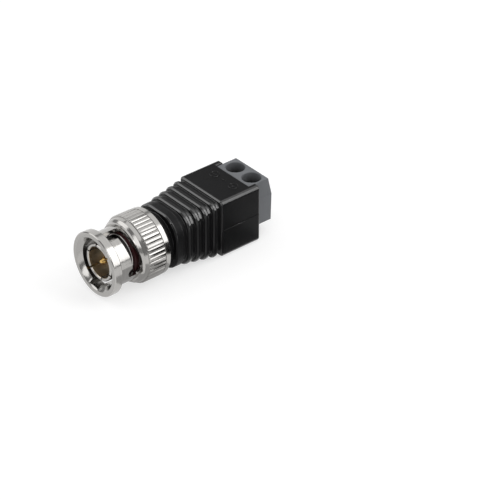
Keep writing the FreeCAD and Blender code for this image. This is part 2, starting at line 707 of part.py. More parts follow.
def terminal_contact(y):
    """Folded strip: floor, two side walls, threaded top plate and a solder tail towards the plug."""
    half = CAGE_WIDTH / 2
    cage = block((CAGE_BACK, y - half, ENTRY_FLOOR), (CAGE_FRONT, y + half, CAGE_TOP))
    folds = []
    for edge in cage.Edges:
        along = abs(edge.tangentAt(edge.FirstParameter).x) > PARALLEL_SHARE
        if along and edge.CenterOfMass.z > CAGE_PLATE_BOTTOM:
            folds.append(edge)
    cage = cage.makeFillet(CAGE_CORNER, folds)
    cage = cage.cut(block(
        (CAGE_BACK - OVERCUT, y - half + CAGE_SHEET, ENTRY_FLOOR + CAGE_SHEET),
        (CAGE_FRONT + OVERCUT, y + half - CAGE_SHEET, CAGE_PLATE_BOTTOM)))
    foot = FreeCAD.Vector(SCREW_X, y, CAGE_PLATE_BOTTOM - OVERCUT)
    cage = cage.cut(Part.makeCylinder(SCREW_THREAD_DIAMETER / 2, CAGE_PLATE + 2 * OVERCUT, foot, AXIS_Z))
    tail = block(
        (TAIL_END, y - TAIL_WIDTH / 2, ENTRY_FLOOR),
        (CAGE_BACK + CAGE_SHEET, y + TAIL_WIDTH / 2, ENTRY_FLOOR + CAGE_SHEET))
    return cage.fuse(tail).removeSplitter()


def wire_guard(y):
    """Leaf under the screw: flat pad, with a nose bent up and back in front of the contact."""
    width = CAGE_WIDTH - 2 * CAGE_SHEET - 2 * GUARD_SIDE_GAP
    back = CAGE_BACK + GUARD_BACK_GAP
    tip = CAGE_FRONT + GUARD_NOSE_REACH
    top = GUARD_BOTTOM + GUARD_NOSE_HEIGHT
    fold = tip - GUARD_NOSE_LEAN
    inside_fold = tip - GUARD_NOSE_LEAN * (1 - GUARD_SHEET / GUARD_NOSE_HEIGHT) - GUARD_SHEET
    return strip([
        (back, GUARD_BOTTOM),
        (tip, GUARD_BOTTOM),
        (fold, top),
        (fold - GUARD_NOSE_RETURN, top),
        (fold - GUARD_NOSE_RETURN, top - GUARD_SHEET),
        (inside_fold, top - GUARD_SHEET),
        (tip - GUARD_SHEET, GUARD_TOP),
        (back, GUARD_TOP),
    ], width, y)


def terminal_screw(y):
    """Slotted cheese-head screw that presses the guard down."""
    shank = SCREW_THREAD_DIAMETER / 2 - THREAD_CLEARANCE
    head = SCREW_HEAD_DIAMETER / 2
    head_bottom = SCREW_HEAD_TOP - SCREW_HEAD_HEIGHT
    tip = GUARD_TOP + SCREW_TIP_GAP
    profile = [
        (0, tip),
        (shank - SCREW_TIP_EDGE, tip),
        (shank, tip + SCREW_TIP_EDGE),
        (shank, head_bottom),
        (head, head_bottom),
        (head, SCREW_HEAD_TOP - SCREW_HEAD_EDGE / 2),
        (head - SCREW_HEAD_EDGE, SCREW_HEAD_TOP),
        (0, SCREW_HEAD_TOP),
    ]
    corners = [FreeCAD.Vector(SCREW_X + radius, y, z) for radius, z in profile]
    face = Part.Face(Part.makePolygon(corners + corners[:1]))
    middle = FreeCAD.Vector(SCREW_X, y, 0)
    screw = face.revolve(middle, AXIS_Z, 360)
    slot = block(
        (SCREW_X - head - OVERCUT, y - SCREW_SLOT_WIDTH / 2, SCREW_HEAD_TOP - SCREW_SLOT_DEPTH),
        (SCREW_X + head + OVERCUT, y + SCREW_SLOT_WIDTH / 2, SCREW_HEAD_TOP + OVERCUT))
    slot.rotate(middle, AXIS_Z, SCREW_SLOT_ANGLE)
    return screw.cut(slot)


def lead(points):
    """Round wire along straight runs joined by tangent arcs."""
    corners = [FreeCAD.Vector(*p) for p in points]
    section = LEAD_DIAMETER / 2
    at = corners[0]
    pieces = []
    for before, corner, after in zip(corners, corners[1:], corners[2:]):
        back = before - corner
        on = after - corner
        reach = LEAD_ARC_SHARE * min(back.Length, on.Length)
        turn = math.pi - back.getAngle(on)
        radius = reach / math.tan(turn / 2)
        back.normalize()
        on.normalize()
        axis = on.cross(back)
        axis.normalize()
        first = corner + back * reach
        centre = first + back.cross(axis) * radius
        face = Part.Face(Part.Wire(Part.makeCircle(section, first, back)))
        pieces.append(Part.makeCylinder(section, (first - at).Length, at, first - at))
        pieces.append(face.revolve(centre, axis, math.degrees(turn)))
        at = corner + on * reach
    end = corners[-1]
    pieces.append(Part.makeCylinder(section, (end - at).Length, at, end - at))
    return pieces[0].fuse(pieces[1:]).removeSplitter()


def lead_to_tail(start, side, pole):
    """Lead that leaves the plug straight back, crosses over and meets a solder tail end to end."""
    run = (TAIL_END - start) / LEAD_RUNS
    y = POLE_PLACES[pole]
    return lead([
        (start, side, 0),
        (start + run, side, 0),
        (TAIL_END - run, y, TAIL_MIDDLE),
        (TAIL_END, y, TAIL_MIDDLE),
    ])


def main():
    nodes = {
        "coupling_nut": coupling_nut(),
        "outer_contact": outer_contact(),
        "centre_pin": centre_pin(),
        "front_insulator": front_insulator(),
        "rear_insulator": rear_insulator(),
        "plug_body": plug_body(),
        "gasket": gasket(),
        "wave_washer": wave_washer(),
        "flat_washer": flat_washer(),
        "retaining_ring": retaining_ring(),
        "jacket": jacket(),
        "terminal_housing": terminal_housing(),
        "signal_lead": lead_to_tail(PIN_END, 0, 0),
        "ground_lead": lead_to_tail(PLUG_SLEEVE_END, SLEEVE_WALL_MIDDLE, 1),
    }
    for name, y in zip(POLE_NAMES, POLE_PLACES):
        nodes["contact_" + name] = terminal_contact(y)
        nodes["wire_guard_" + name] = wire_guard(y)
        nodes["terminal_screw_" + name] = terminal_screw(y)
    os.makedirs("parts", exist_ok=True)
    for name, shape in nodes.items():
        shape.exportStep(os.path.join("parts", name + ".step"))
        print(name, len(shape.Solids), round(shape.Volume, 3), shape.isValid())


main()
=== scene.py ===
import math

import bmesh
import bpy
from mathutils import Matrix, Vector


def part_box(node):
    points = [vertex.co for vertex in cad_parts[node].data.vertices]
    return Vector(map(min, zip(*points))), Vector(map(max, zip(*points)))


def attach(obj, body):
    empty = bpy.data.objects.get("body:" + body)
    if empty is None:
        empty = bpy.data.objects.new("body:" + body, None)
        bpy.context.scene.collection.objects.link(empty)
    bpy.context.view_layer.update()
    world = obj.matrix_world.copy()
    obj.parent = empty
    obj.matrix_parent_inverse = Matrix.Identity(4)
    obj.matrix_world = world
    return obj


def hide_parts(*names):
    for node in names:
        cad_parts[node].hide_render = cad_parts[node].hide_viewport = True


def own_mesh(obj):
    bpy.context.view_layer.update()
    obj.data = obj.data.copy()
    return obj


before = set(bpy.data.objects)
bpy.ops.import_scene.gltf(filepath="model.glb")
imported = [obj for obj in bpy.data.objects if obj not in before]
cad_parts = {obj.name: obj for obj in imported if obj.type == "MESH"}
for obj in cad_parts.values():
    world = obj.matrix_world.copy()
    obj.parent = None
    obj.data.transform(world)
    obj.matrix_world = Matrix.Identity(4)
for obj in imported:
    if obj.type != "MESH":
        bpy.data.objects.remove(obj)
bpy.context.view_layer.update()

bl_info = {
    "name": "Coaxial plug with screw terminal",
    "version": (1, 0, 0),
    "blender": (4, 5, 0),
    "location": "3D View > Sidebar > Plug",
    "description": "Finished pieces, materials and studio for a coaxial plug with a screw terminal",
    "category": "Object",
}

MM = 0.001
POLES = ("plus", "minus")

# Where the outer contact ends and the seal begins along the axis, in the solids and as drawn here
SOLID_SEAL_EDGE = 4.9 * MM
SEAL_EDGE = 5.4 * MM


# Sizes and colours that a user would change

class PlugMetalSettings(bpy.types.PropertyGroup):
    nickel: bpy.props.FloatVectorProperty(
        name="Nickel", description="Colour of the plated coupling nut", subtype="COLOR", size=3,
        min=0, max=1, default=(0.43, 0.42, 0.405))
    bronze: bpy.props.FloatVectorProperty(
        name="Bronze", description="Colour of the bare inside of the outer contact", subtype="COLOR", size=3,
        min=0, max=1, default=(0.57, 0.49, 0.38))
    gold: bpy.props.FloatVectorProperty(
        name="Gold", description="Colour of the centre pin", subtype="COLOR", size=3,
        min=0, max=1, default=(0.66, 0.43, 0.15))
    tin: bpy.props.FloatVectorProperty(
        name="Tin", description="Colour of the terminal contacts and wire guards", subtype="COLOR", size=3,
        min=0, max=1, default=(0.72, 0.71, 0.68))
    edge: bpy.props.FloatProperty(
        name="Edge break", description="Rounding of the turned and stamped edges", unit="LENGTH",
        min=0, max=0.0002, default=0.00003, precision=6)
    knurl_root: bpy.props.FloatProperty(
        name="Knurl root", description="Radius at the bottom of the knurl's grooves", unit="LENGTH",
        min=0.00696, max=0.00724, default=0.0071, precision=6)
    thread_pitch: bpy.props.FloatProperty(
        name="Thread pitch", description="Pitch of the terminal screws", unit="LENGTH",
        min=0.0002, max=0.001, default=0.00045, precision=6)
    thread_depth: bpy.props.FloatProperty(
        name="Thread depth", description="Height of the thread over its root", unit="LENGTH",
        min=0.00005, max=0.0004, default=0.00022, precision=6)


class PlugPlasticSettings(bpy.types.PropertyGroup):
    jacket: bpy.props.FloatVectorProperty(
        name="Jacket", description="Colour of the moulded jacket", subtype="COLOR", size=3,
        min=0, max=1, default=(0.0085, 0.0085, 0.009))
    housing: bpy.props.FloatVectorProperty(
        name="Terminal", description="Colour of the terminal housing", subtype="COLOR", size=3,
        min=0, max=1, default=(0.169, 0.176, 0.187))
    grain: bpy.props.FloatProperty(
        name="Grain", description="Size of the eroded grain on the moulded faces", unit="LENGTH",
        min=0.00002, max=0.001, default=0.00016, precision=6)
    rib_round: bpy.props.FloatProperty(
        name="Rib rounding", description="Rounding added to the rims of the jacket", unit="LENGTH",
        min=0, max=0.0003, default=0.00008, precision=6)
    rib_polish: bpy.props.FloatProperty(
        name="Rib polish", description="Gloss of the ribs and the collar next to the grained block",
        subtype="FACTOR", min=0, max=1, default=0.16)
    mark_height: bpy.props.FloatProperty(
        name="Mark height", description="How far the polarity marks and parting lines stand out",
        unit="LENGTH", min=0, max=0.0003, default=0.00009, precision=6)
    mark_ring: bpy.props.FloatProperty(
        name="Mark ring", description="Diameter of the ring round each polarity mark", unit="LENGTH",
        min=0.0005, max=0.004, default=0.0021, precision=6)


class PlugStudioSettings(bpy.types.PropertyGroup):
    floor: bpy.props.FloatVectorProperty(
        name="Floor", description="Colour of the floor", subtype="COLOR", size=3,
        min=0, max=1, default=(0.5, 0.5, 0.5))
    overhead: bpy.props.FloatProperty(
        name="Overhead light", description="Brightness of the large overhead softbox",
        min=0, max=10, default=0.8)
    side: bpy.props.FloatProperty(
        name="Side light", description="Brightness of the softbox at the front right",
        min=0, max=20, default=2.3)
    strip: bpy.props.FloatProperty(
        name="Strip light", description="Brightness of the two lights at the plug's end",
        min=0, max=20, default=1.6)
    card: bpy.props.FloatProperty(
        name="Card", description="Brightness of the white card behind the nut", min=0, max=2, default=1.0)
    ambient: bpy.props.FloatProperty(
        name="Ambient", description="Strength of the even light from all round", min=0, max=2, default=0.3)
    lens: bpy.props.FloatProperty(
        name="Lens", description="Focal length of the camera in millimetres", min=20, max=400, default=187.8)


# Node helpers

def add_node(tree, kind, values=None, **settings):
    made = tree.nodes.new(kind)
    for key, value in settings.items():
        setattr(made, key, value)
    for key, value in (values or {}).items():
        made.inputs[key].default_value = value
    return made


def math_node(tree, operation, first, second=None):
    """Math node of one operation, whose inputs are sockets or numbers."""
    made = add_node(tree, "ShaderNodeMath", operation=operation)
    for index, value in enumerate((first, second)):
        if value is None:
            continue
        if isinstance(value, bpy.types.NodeSocket):
            tree.links.new(value, made.inputs[index])
        else:
            made.inputs[index].default_value = value
    return made.outputs[0]


def axis_radius(tree, split):
    """Distance from the connector axis, from a separated vector."""
    y_squared = math_node(tree, "MULTIPLY", split.outputs["Y"], split.outputs["Y"])
    z_squared = math_node(tree, "MULTIPLY", split.outputs["Z"], split.outputs["Z"])
    return math_node(tree, "SQRT", math_node(tree, "ADD", y_squared, z_squared))


def new_group(name, kind, inputs, outputs):
    """Empty node group with its named sockets, and its two end nodes."""
    tree = bpy.data.node_groups.new(name, kind)
    for label, socket_type, default in inputs:
        made = tree.interface.new_socket(label, in_out="INPUT", socket_type=socket_type)
        if default is not None:
            made.default_value = default
    for label, socket_type in outputs:
        tree.interface.new_socket(label, in_out="OUTPUT", socket_type=socket_type)
    return tree, tree.nodes.new("NodeGroupInput"), tree.nodes.new("NodeGroupOutput")


# Effects that several finishes share

def lathe_lines_group():
    """Fine turned lines that run round the connector axis on cylinders and end faces alike."""
    tree, start, end = new_group("Lathe lines", "ShaderNodeTree", [
        ("Vector", "NodeSocketVector", None),
        ("Line Pitch", "NodeSocketFloat", 0.00006),
    ], [("Height", "NodeSocketFloat"), ("Tone", "NodeSocketFloat")])
    radial_share = 0.83
    broad_scale = 0.13
    split = add_node(tree, "ShaderNodeSeparateXYZ")
    tree.links.new(start.outputs["Vector"], split.inputs[0])
    outward = math_node(tree, "MULTIPLY", axis_radius(tree, split), radial_share)
    along = math_node(tree, "ADD", split.outputs["X"], outward)
    count = math_node(tree, "DIVIDE", along, start.outputs["Line Pitch"])
    fine = add_node(tree, "ShaderNodeTexNoise", {"Scale": 1.0, "Detail": 3.0}, noise_dimensions="1D")
    broad = add_node(tree, "ShaderNodeTexNoise", {"Scale": broad_scale, "Detail": 1.0}, noise_dimensions="1D")
    for noise in (fine, broad):
        tree.links.new(count, noise.inputs["W"])
    tree.links.new(fine.outputs["Fac"], end.inputs["Height"])
    tree.links.new(broad.outputs["Fac"], end.inputs["Tone"])
    return tree


def moulded_grain_group():
    """Eroded grain of a mould, with larger soft patches of tone."""
    tree, start, end = new_group("Moulded grain", "ShaderNodeTree", [
        ("Vector", "NodeSocketVector", None),
        ("Grain Size", "NodeSocketFloat", 0.0002),
    ], [("Height", "NodeSocketFloat"), ("Tone", "NodeSocketFloat")])
    grit_scale = 2.3
    grit_height = 0.6
    patch_scale = 0.12
    scale = math_node(tree, "DIVIDE", 1.0, start.outputs["Grain Size"])
    pebbles = add_node(tree, "ShaderNodeTexVoronoi", feature="SMOOTH_F1")
    grit = add_node(tree, "ShaderNodeTexNoise", {"Detail": 2.0})
    patches = add_node(tree, "ShaderNodeTexNoise", {"Detail": 2.0})
    for texture in (pebbles, grit, patches):
        tree.links.new(start.outputs["Vector"], texture.inputs["Vector"])
    tree.links.new(scale, pebbles.inputs["Scale"])
    tree.links.new(math_node(tree, "MULTIPLY", scale, grit_scale), grit.inputs["Scale"])
    tree.links.new(math_node(tree, "MULTIPLY", scale, patch_scale), patches.inputs["Scale"])
    rough = math_node(tree, "MULTIPLY", grit.outputs["Fac"], grit_height)
    tree.links.new(math_node(tree, "ADD", pebbles.outputs["Distance"], rough), end.inputs["Height"])
    tree.links.new(patches.outputs["Fac"], end.inputs["Tone"])
    return tree


def handling_marks_group():
    """Faint smears from handling, as a shift of roughness about nought."""
    tree, start, end = new_group("Handling marks", "ShaderNodeTree", [
        ("Vector", "NodeSocketVector", None),
        ("Patch Size", "NodeSocketFloat", 0.004),
        ("Amount", "NodeSocketFloat", 0.1),
    ], [("Roughness Shift", "NodeSocketFloat")])
    smears = add_node(tree, "ShaderNodeTexNoise", {"Detail": 4.0, "Roughness": 0.6})
    tree.links.new(start.outputs["Vector"], smears.inputs["Vector"])
    tree.links.new(math_node(tree, "DIVIDE", 1.0, start.outputs["Patch Size"]), smears.inputs["Scale"])
    centred = math_node(tree, "SUBTRACT", smears.outputs["Fac"], 0.5)
    shift = math_node(tree, "MULTIPLY", centred, start.outputs["Amount"])
    tree.links.new(shift, end.inputs["Roughness Shift"])
    return tree


def shared_group(name, make):
    return bpy.data.node_groups.get(name) or make()


# Finishes

def place_group(tree, group, vector, values):
    made = add_node(tree, "ShaderNodeGroup", node_tree=group)
    tree.links.new(vector, made.inputs["Vector"])
    for key, value in values.items():
        made.inputs[key].default_value = value
    return made


def finish_base(name, metallic):
    """Material with only its shader and Object coordinates."""
    material = bpy.data.materials.new(name)
    material.use_nodes = True
    tree = material.node_tree
    shader = tree.nodes["Principled BSDF"]
    shader.inputs["Metallic"].default_value = metallic
    coordinates = add_node(tree, "ShaderNodeTexCoord")
    return material, tree, shader, coordinates.outputs["Object"]


def toned(tree, shader, tone, dark, light):
    """Base colour that moves between two shades with a tone from 0 to 1."""
    mix = add_node(tree, "ShaderNodeMix", data_type="RGBA")
    mix.inputs["A"].default_value = (*dark, 1)
    mix.inputs["B"].default_value = (*light, 1)
    tree.links.new(tone, mix.inputs["Factor"])
    tree.links.new(mix.outputs["Result"], shader.inputs["Base Color"])


def overlaid(tree, shader, factor, colour):
    """Lays a colour over the base colour that the shader already has."""
    below = shader.inputs["Base Color"].links[0].from_socket
    mix = add_node(tree, "ShaderNodeMix", data_type="RGBA")
    mix.inputs["B"].default_value = (*colour, 1)
    tree.links.new(factor, mix.inputs["Factor"])
    tree.links.new(below, mix.inputs["A"])
    tree.links.new(mix.outputs["Result"], shader.inputs["Base Color"])


def face_mark(tree, name):
    """Value of a face attribute."""
    mark = add_node(tree, "ShaderNodeAttribute", attribute_type="GEOMETRY", attribute_name=name)
    return mark.outputs["Fac"]


def worn_roughness(tree, shader, vector, roughness, amount, patch):
    marks = place_group(
        tree, shared_group("Handling marks", handling_marks_group), vector,
        {"Patch Size": patch, "Amount": amount})
    tree.links.new(
        math_node(tree, "ADD", marks.outputs["Roughness Shift"], roughness), shader.inputs["Roughness"])


def bumped(tree, shader, height, depth):
    bump = add_node(tree, "ShaderNodeBump", {"Strength": 1.0, "Distance": depth})
    tree.links.new(height, bump.inputs["Height"])
    tree.links.new(bump.outputs["Normal"], shader.inputs["Normal"])


def shade(colour, factor):
    return tuple(min(1.0, channel * factor) for channel in colour)


def lined(tree, vector, pitch):
    return place_group(tree, shared_group("Lathe lines", lathe_lines_group), vector, {"Line Pitch": pitch})


def grained(tree, vector, size):
    return place_group(tree, shared_group("Moulded grain", moulded_grain_group), vector, {"Grain Size": size})


def turned_metal(name, colour, roughness, painted_groove_shade=None):
    """Metal off a lathe, with a darker colour painted as shade on the faces that a face attribute marks."""
    spread = 0.06
    material, tree, shader, vector = finish_base(name, 1.0)
    lines = lined(tree, vector, 0.06 * MM)
    toned(tree, shader, lines.outputs["Tone"], shade(colour, 1 - spread), shade(colour, 1 + spread))
    # Painted shade: a darker colour on the marked faces, standing in for the shade in grooves.
    if painted_groove_shade:
        overlaid(tree, shader, face_mark(tree, "painted_groove_shade"), painted_groove_shade)
    worn_roughness(tree, shader, vector, roughness, amount=0.12, patch=3 * MM)
    bumped(tree, shader, lines.outputs["Height"], 0.0012 * MM)
    return material


def stamped_metal(name, colour, roughness):
    """Plated sheet metal with a faint grain."""
    material, tree, shader, vector = finish_base(name, 1.0)
    grain = grained(tree, vector, 0.12 * MM)
    toned(tree, shader, grain.outputs["Tone"], shade(colour, 0.9), shade(colour, 1.08))
    worn_roughness(tree, shader, vector, roughness, amount=0.15, patch=1 * MM)
    bumped(tree, shader, grain.outputs["Height"], 0.0015 * MM)
    return material


def moulded_plastic(
        name, colour, roughness, grain_size, depth, gloss=0.5, spread=0.12, polish=0.0, coat_ior=1.8):
    """Grained plastic, with a clear coat of the strength polish where faces are marked with "polish"."""
    material, tree, shader, vector = finish_base(name, 0.0)
    shader.inputs["Specular IOR Level"].default_value = gloss
    grain = grained(tree, vector, grain_size)
    toned(tree, shader, grain.outputs["Tone"], shade(colour, 1 - spread), shade(colour, 1 + spread))
    worn_roughness(tree, shader, vector, roughness, amount=0.12, patch=4 * MM)
    bumped(tree, shader, grain.outputs["Height"], depth)
    if polish > 0:
        shader.inputs["Coat Roughness"].default_value = 0.12
        shader.inputs["Coat IOR"].default_value = coat_ior
        worn = math_node(tree, "MULTIPLY", face_mark(tree, "polish"), polish)
        tree.links.new(worn, shader.inputs["Coat Weight"])
    return material


def housing_plastic(name, colour, grain_size, top, fade):
    """Plastic of the housing, with painted shade that gets darker down the faces marked with "hole"."""
    material = moulded_plastic(
        name, colour, roughness=0.48, grain_size=grain_size, depth=0.005 * MM, gloss=0.4, spread=0.04)
    tree = material.node_tree
    split = add_node(tree, "ShaderNodeSeparateXYZ")
    tree.links.new(add_node(tree, "ShaderNodeTexCoord").outputs["Object"], split.inputs[0])
    depth = math_node(tree, "DIVIDE", math_node(tree, "SUBTRACT", top, split.outputs["Z"]), fade)
    # Painted shade in the screw holes: darker the deeper down the wall.
    shadow = math_node(tree, "MULTIPLY", face_mark(tree, "hole"), depth)
    overlaid(tree, tree.nodes["Principled BSDF"], shadow, shade(colour, 0.1))
    return material


def two_sided_contact(name, plating, bare, wall_radius, root):
    """Outer contact: plated outside and at its tip, bare bronze inside, with painted shade behind the root.
    """
    material, tree, shader, vector = finish_base(name, 1.0)
    lines = lined(tree, vector, 0.08 * MM)
    split = add_node(tree, "ShaderNodeSeparateXYZ")
    tree.links.new(vector, split.inputs[0])
    outside = math_node(tree, "GREATER_THAN", axis_radius(tree, split), wall_radius)
    toned(tree, shader, outside, bare, plating)
    # Painted shade: behind the root the plating is near black, as the sleeve lies in shade there.
    overlaid(tree, shader, math_node(tree, "GREATER_THAN", split.outputs["X"], root), shade(plating, 0.12))
    worn_roughness(tree, shader, vector, 0.3, amount=0.14, patch=2 * MM)
    bumped(tree, shader, lines.outputs["Height"], 0.002 * MM)
    return material


def finish(name):
    """Each of the plug's finishes, made once and then found again by name."""
    found = bpy.data.materials.get(name)
    if found:
        return found
    metal = bpy.context.scene.plug_metal
    plastic = bpy.context.scene.plug_plastic
    nickel = tuple(metal.nickel)
    tin = tuple(metal.tin)
    jacket = tuple(plastic.jacket)
    grain = plastic.grain
    lead = {"roughness": 0.35, "grain_size": 0.4 * MM, "depth": 0.003 * MM}
    makers = {
        # Nickel of the nut, with painted shade in the roots of its knurl.
        "satin nickel": lambda: turned_metal(name, nickel, 0.17, painted_groove_shade=shade(nickel, 0.62)),
        "dull nickel": lambda: turned_metal(name, shade(nickel, 0.9), 0.32),
        "outer contact plating": lambda: two_sided_contact(
            name, shade(nickel, 1.15), tuple(metal.bronze), wall_radius=3.42 * MM, root=4.2 * MM),
        # Lighter copy of the plating for the sleeve's lip: a painted highlight along its edge.
        "highlight rim": lambda: turned_metal(name, (0.88, 0.86, 0.83), 0.3),
        "gold plating": lambda: turned_metal(name, tuple(metal.gold), 0.2),
        "spring steel": lambda: turned_metal(name, (0.50, 0.50, 0.50), 0.28),
        "tinned brass": lambda: stamped_metal(name, tin, 0.26),
        "bright tin leaf": lambda: stamped_metal(name, shade(tin, 1.1), 0.2),
        "zinc plated steel": lambda: stamped_metal(name, (0.72, 0.72, 0.71), 0.26),
        "white insulator": lambda: moulded_plastic(
            name, (0.80, 0.79, 0.75), roughness=0.45, grain_size=0.3 * MM, depth=0.004 * MM, spread=0.03),
        "red rubber": lambda: moulded_plastic(
            name, (0.030, 0.0028, 0.0035), roughness=0.45, grain_size=0.1 * MM, depth=0.003 * MM,
            gloss=0.15, polish=0.15),
        "black jacket": lambda: moulded_plastic(
            name, jacket, roughness=0.42, grain_size=grain, depth=0.03 * MM, gloss=0.14, polish=1.0),
        "rubbed rim": lambda: moulded_plastic(
            name, jacket, roughness=0.35, grain_size=grain, depth=0.004 * MM, gloss=0.14, polish=0.5,
            coat_ior=2.3),
        "grey housing": lambda: housing_plastic(
            name, tuple(plastic.housing), grain, top=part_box("terminal_housing")[1].z, fade=2.6 * MM),
        "red lead": lambda: moulded_plastic(name, (0.45, 0.02, 0.02), **lead),
        "black lead": lambda: moulded_plastic(name, (0.02, 0.02, 0.02), **lead),
    }
    return makers[name]()


# Mesh helpers

def welded_copy(node, name):
    """Copy of a solid's surface with its facets joined and flat areas made whole."""
    work = bmesh.new()
    work.from_mesh(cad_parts[node].data)
    bmesh.ops.remove_doubles(work, verts=work.verts, dist=0.0000002)
    bmesh.ops.dissolve_limit(
        work, angle_limit=math.radians(0.5), verts=work.verts, edges=work.edges)
    mesh = bpy.data.meshes.new(name)
    work.to_mesh(mesh)
    work.free()
    stale = mesh.attributes.get("custom_normal")
    if stale:
        mesh.attributes.remove(stale)
    return linked(name, mesh)


def linked(name, mesh):
    piece = bpy.data.objects.new(name, mesh)
    bpy.context.scene.collection.objects.link(piece)
    return piece


def settled(piece):
    """Bakes the live modifiers of a piece into its mesh."""
    bpy.context.view_layer.update()
    graph = bpy.context.evaluated_depsgraph_get()
    mesh = bpy.data.meshes.new_from_object(
        piece.evaluated_get(graph), preserve_all_data_layers=True, depsgraph=graph)
    piece.modifiers.clear()
    piece.data = mesh
    return piece


def smooth(piece, angle):
    """Smooth faces, with edges sharper than the angle kept crisp."""
    work = bmesh.new()
    work.from_mesh(piece.data)
    for face in work.faces:
        face.smooth = True
    for edge in work.edges:
        edge.smooth = len(edge.link_faces) == 2 and edge.calc_face_angle(math.pi) < math.radians(angle)
    work.to_mesh(piece.data)
    work.free()
    weighted = piece.modifiers.new("Face weighted normals", "WEIGHTED_NORMAL")
    weighted.keep_sharp = True
    return settled(piece)


def rounded(piece, width, segments, angle=32):
    """Breaks the sharp edges and marks the new faces with 1 in the attribute "polish".

    The new faces are told by the second of two empty material slots.
    """
    if width > 0:
        piece.data.materials.append(None)
        piece.data.materials.append(None)
        bevel = piece.modifiers.new("Broken edges", "BEVEL")
        bevel.material = 1
        bevel.width = width
        bevel.segments = segments
        bevel.limit_method = "ANGLE"
        bevel.angle_limit = math.radians(angle)
        bevel.use_clamp_overlap = False
        bevel.miter_outer = "MITER_ARC"
        settled(piece)
        polish = piece.data.attributes.new("polish", "FLOAT", "FACE")
        polish.data.foreach_set("value", [float(face.material_index) for face in piece.data.polygons])
        for face in piece.data.polygons:
            face.material_index = 0
    return smooth(piece, 40)


def dress(piece, look, body, record_slot, *nodes):
    """Gives a finished piece its material and its body, and hides the solids that it stands for."""
    piece.data.materials.clear()
    piece.data.materials.append(finish(look))
    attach(piece, body)
    if nodes:
        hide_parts(*nodes)
    return piece


def paint(node, look):
    """Gives a solid that stays as it is its finish, through its own material slots."""
    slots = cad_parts[node].material_slots
    if not slots:
        raise RuntimeError(node + " has no material slot")
    for each in slots:
        each.material = finish(look)


def bar(work, low, high):
    """Adds a closed box between two corners."""
    corners = bmesh.ops.create_cube(work, size=1.0)["verts"]
    middle = (Vector(low) + Vector(high)) / 2
    size = Vector(high) - Vector(low)
    bmesh.ops.scale(work, vec=size, verts=corners)
    bmesh.ops.translate(work, vec=middle, verts=corners)


def ring(work, centre, outer, inner, low, high, steps):
    """Adds a closed flat ring about +Z."""
    loops = []
    for radius, z in ((inner, low), (outer, low), (outer, high), (inner, high)):
        loops.append([
            work.verts.new((
                centre[0] + radius * math.cos(2 * math.pi * step / steps),
                centre[1] + radius * math.sin(2 * math.pi * step / steps), z))
            for step in range(steps)])
    for index, loop in enumerate(loops):
        following = loops[(index + 1) % 4]
        for step in range(steps):
            ahead = (step + 1) % steps
            work.faces.new((loop[step], loop[ahead], following[ahead], following[step]))


def sheet(name, centre, half_width, half_length):
    """Flat four-sided sheet round a centre, from two half sides."""
    work = bmesh.new()
    corners = []
    for sign_w, sign_l in ((-1, -1), (1, -1), (1, 1), (-1, 1)):
        corners.append(work.verts.new(centre + half_width * sign_w + half_length * sign_l))
    work.faces.new(corners)
    return mesh_of(work, name)


def mesh_of(work, name):
    bmesh.ops.recalc_face_normals(work, faces=work.faces)
    mesh = bpy.data.meshes.new(name)
    work.to_mesh(mesh)
    work.free()
    return linked(name, mesh)


# Geometry node trees

def thread_tree():
    """Helical ridge about +Z, a strip folded along its middle, that fades out at both ends."""
    tree, start, end = new_group("Screw thread", "GeometryNodeTree", [
        ("Length", "NodeSocketFloat", 0.004),
        ("Pitch", "NodeSocketFloat", 0.00045),
        ("Root Radius", "NodeSocketFloat", 0.001),
        ("Depth", "NodeSocketFloat", 0.0002),
        ("Steps", "NodeSocketInt", 200),
        ("Material", "NodeSocketMaterial", None),
    ], [("Geometry", "NodeSocketGeometry")])
    fade_share = 16.0
    sunk_by = 0.01 * MM
    width_share = 0.84
    grid = add_node(tree, "GeometryNodeMeshGrid", {"Size X": 1.0, "Size Y": 1.0, "Vertices Y": 3})
    tree.links.new(start.outputs["Steps"], grid.inputs["Vertices X"])
    place = add_node(tree, "ShaderNodeSeparateXYZ")
    tree.links.new(add_node(tree, "GeometryNodeInputPosition").outputs[0], place.inputs[0])
    share = math_node(tree, "ADD", place.outputs["X"], 0.5)
    off_crest = math_node(tree, "MULTIPLY", math_node(tree, "ABSOLUTE", place.outputs["Y"]), 2.0)
    crest = math_node(tree, "SUBTRACT", 1.0, off_crest)
    from_end = math_node(tree, "MINIMUM", share, math_node(tree, "SUBTRACT", 1.0, share))
    fade = math_node(tree, "MINIMUM", math_node(tree, "MULTIPLY", from_end, fade_share), 1.0)
    height = math_node(tree, "MULTIPLY", math_node(tree, "MULTIPLY", crest, fade), start.outputs["Depth"])
    sunk = math_node(tree, "SUBTRACT", start.outputs["Root Radius"], sunk_by)
    radius = math_node(tree, "ADD", sunk, height)
    climb = math_node(tree, "MULTIPLY", share, start.outputs["Length"])
    turns = math_node(tree, "DIVIDE", climb, start.outputs["Pitch"])
    angle = math_node(tree, "MULTIPLY", turns, 2 * math.pi)
    width = math_node(tree, "MULTIPLY", start.outputs["Pitch"], width_share)
    z = math_node(tree, "ADD", climb, math_node(tree, "MULTIPLY", place.outputs["Y"], width))
    point = add_node(tree, "ShaderNodeCombineXYZ")
    tree.links.new(math_node(tree, "MULTIPLY", radius, math_node(tree, "COSINE", angle)), point.inputs["X"])
    tree.links.new(math_node(tree, "MULTIPLY", radius, math_node(tree, "SINE", angle)), point.inputs["Y"])
    tree.links.new(z, point.inputs["Z"])
    bend = add_node(tree, "GeometryNodeSetPosition")
    tree.links.new(grid.outputs["Mesh"], bend.inputs["Geometry"])
    tree.links.new(point.outputs[0], bend.inputs["Position"])
    return close_tree(tree, start, end, bend.outputs["Geometry"])


